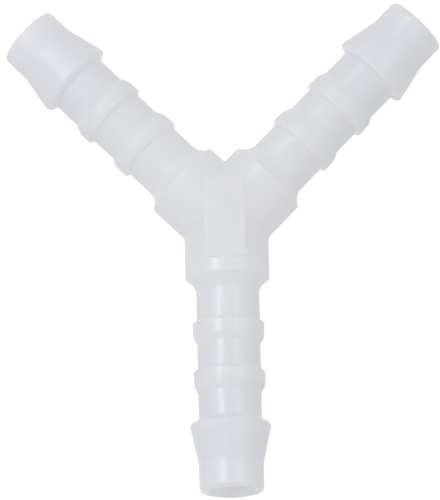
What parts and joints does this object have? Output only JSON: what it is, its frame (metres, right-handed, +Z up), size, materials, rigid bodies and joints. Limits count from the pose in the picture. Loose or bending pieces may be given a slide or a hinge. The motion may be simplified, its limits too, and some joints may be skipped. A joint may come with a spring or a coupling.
{
  "type": "tubing y connector",
  "caption": "One-piece moulded Y connector with ribbed, barbed hose ends of equal size and a hub with a bare raised label pad.",
  "frame": {"origin": "the point where the axes of its bores cross, inside the hub", "axes": "-Y out along the stem, the arms at 45 degrees to +Y on either side of it, +Z up out of the label pad's face; it lies on its underside"},
  "size_m": [0.0534, 0.0609, 0.0106],
  "materials": {
    "natural_plastic": "semi-gloss, milky translucent natural polypropylene"
  },
  "bodies": {
    "root": {"y_connector": "natural_plastic"}
  },
  "joints": []
}
